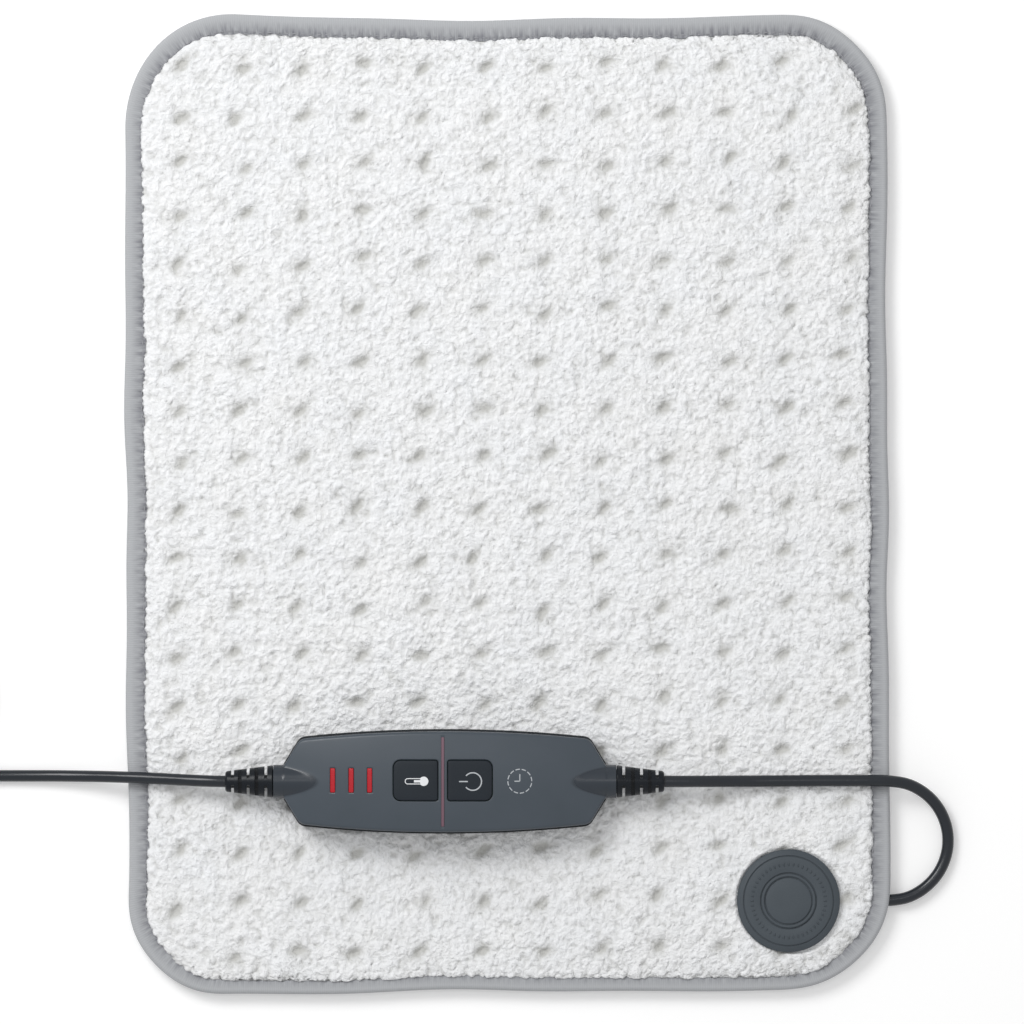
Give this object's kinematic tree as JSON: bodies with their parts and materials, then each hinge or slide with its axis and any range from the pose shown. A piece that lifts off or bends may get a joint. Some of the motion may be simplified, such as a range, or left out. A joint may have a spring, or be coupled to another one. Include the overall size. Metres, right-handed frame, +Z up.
{
  "type": "heating pad with controller",
  "caption": "Quilted fleece heating pad with a bound edge, a round lead coupling and an in-line hand controller with two push buttons, heat lights and a coiled mains lead.",
  "frame": {"origin": "middle of the pad's underside, on the surface it lies on", "axes": "+Z up from the surface, +Y along the pad's length away from the controller's end, +X along the controller towards the pad lead"},
  "size_m": [0.4744, 0.4, 0.0333],
  "materials": {
    "fleece": "napped curly fleece",
    "felt": "needled felt",
    "binding": "woven grosgrain tape",
    "heating_wire": "insulated wire",
    "case_plastic": "fine moulded texture",
    "button_plastic": "satin moulded",
    "boot_rubber": "moulded",
    "cord_jacket": "extruded",
    "light_red": "clear moulded",
    "divider_red": "moulded",
    "circuit_board": "solder mask",
    "component_black": "moulded",
    "component_white": "moulded",
    "component_blue": "moulded",
    "steel": "zinc plated",
    "plug_rubber": "moulded",
    "pin_nickel": "nickel plated",
    "tie_plastic": "coated wire tie"
  },
  "bodies": {
    "pad": {"front_cover": "fleece", "upper_wadding": "felt", "heating_wire": "heating_wire", "wire_carrier": "felt", "rear_cover": "fleece", "edge_binding": "binding", "coupling_cap": "case_plastic", "coupling_base": "case_plastic", "coupling_terminal": "component_white", "overheat_cutout": "steel", "coupling_screw_1": "steel", "coupling_screw_2": "steel", "coupling_screw_3": "steel", "upper_shell": "case_plastic", "lower_shell": "case_plastic", "temperature_switch": "component_black", "power_switch": "component_black", "divider_strip": "divider_red", "light_pipe_1": "light_red", "light_pipe_2": "light_red", "light_pipe_3": "light_red", "led_1": "component_white", "led_2": "component_white", "led_3": "component_white", "circuit_board": "circuit_board", "control_chip": "component_black", "triac": "component_black", "capacitor": "component_blue", "fuse": "component_white", "pad_wire_block": "component_white", "pad_lead_tail": "cord_jacket", "pad_lead_clamp": "component_black", "pad_lead_boot": "boot_rubber", "mains_wire_block": "component_white", "mains_lead_tail": "cord_jacket", "mains_lead_clamp": "component_black", "mains_lead_boot": "boot_rubber", "shell_screw_1": "steel", "shell_screw_2": "steel", "shell_screw_3": "steel", "shell_screw_4": "steel", "pad_lead": "cord_jacket", "mains_lead": "cord_jacket", "mains_coil": "cord_jacket", "coil_tie": "tie_plastic", "plug_tail": "cord_jacket", "plug_body": "plug_rubber", "plug_pin_1": "pin_nickel", "plug_pin_2": "pin_nickel", "plug_sleeve_1": "tie_plastic", "plug_sleeve_2": "tie_plastic"},
    "temperature_key": {"temperature_button": "button_plastic", "temperature_plunger": "component_black"},
    "power_key": {"power_button": "button_plastic", "power_plunger": "component_black"}
  },
  "joints": [
    {"name": "temperature_press", "type": "slide", "parent": "pad", "child": "temperature_key", "axis": [0, 0, -1], "range_m": [0, 0.0006], "stiffness_N_per_m": 400, "springref_m": -0.0005},
    {"name": "power_press", "type": "slide", "parent": "pad", "child": "power_key", "axis": [0, 0, -1], "range_m": [0, 0.0006], "stiffness_N_per_m": 400, "springref_m": -0.0005}
  ]
}
